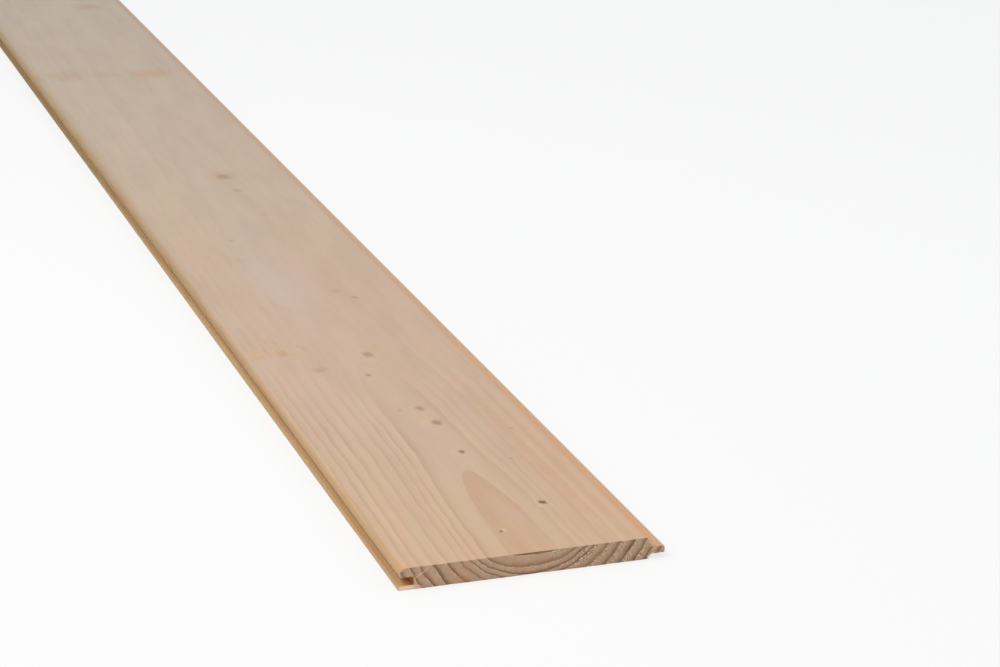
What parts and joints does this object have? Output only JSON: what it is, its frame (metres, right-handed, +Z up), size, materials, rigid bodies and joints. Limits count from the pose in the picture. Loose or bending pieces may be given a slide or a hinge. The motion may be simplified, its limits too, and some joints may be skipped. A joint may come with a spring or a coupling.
{
  "type": "tongue and groove board",
  "caption": "Softwood lining board with a tongue along one edge and a groove with a rounded upper lip along the other.",
  "frame": {"origin": "middle of the back face, where the board lies on the floor", "axes": "+X across the board towards the tongue, +Y along the grain, +Z up from the back to the face"},
  "size_m": [0.145, 1.8, 0.012],
  "materials": {
    "wood": "planed bare softwood, matt, with saw-cut ends"
  },
  "bodies": {
    "root": {"board": "wood"}
  },
  "joints": []
}
